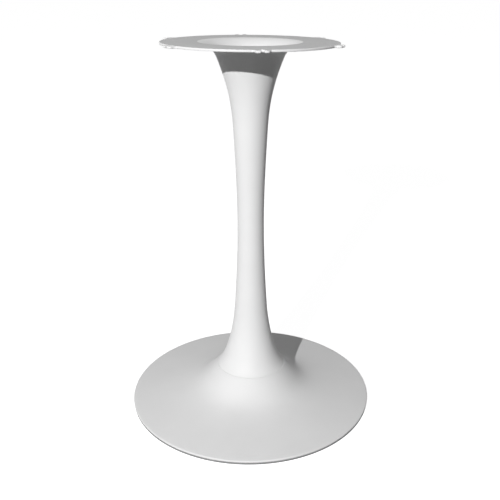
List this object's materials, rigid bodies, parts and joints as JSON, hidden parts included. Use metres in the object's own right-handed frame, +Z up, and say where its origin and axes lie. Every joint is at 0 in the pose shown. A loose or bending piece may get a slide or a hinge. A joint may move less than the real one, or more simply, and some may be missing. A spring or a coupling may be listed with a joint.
{
  "type": "pedestal table base",
  "caption": "Waisted pedestal table base with a round dished foot, a flared hollow column and a round top flange with slotted screw lugs.",
  "frame": {"origin": "on the floor, at the centre of the round foot, on the axis of the column", "axes": "+Z up along the column's axis, -Y towards one of the six screw lugs"},
  "size_m": [0.495, 0.495, 0.72],
  "materials": {
    "white_coat": "satin white powder coat",
    "floor_ring_rubber": "matt grey moulded",
    "zinc_steel": "bright zinc plated"
  },
  "bodies": {
    "root": {"floor_ring": "floor_ring_rubber", "base": "white_coat", "column": "white_coat", "tie_rod": "zinc_steel", "bottom_washer": "zinc_steel", "bottom_nut": "zinc_steel", "top_washer": "zinc_steel", "top_nut": "zinc_steel"}
  },
  "joints": []
}
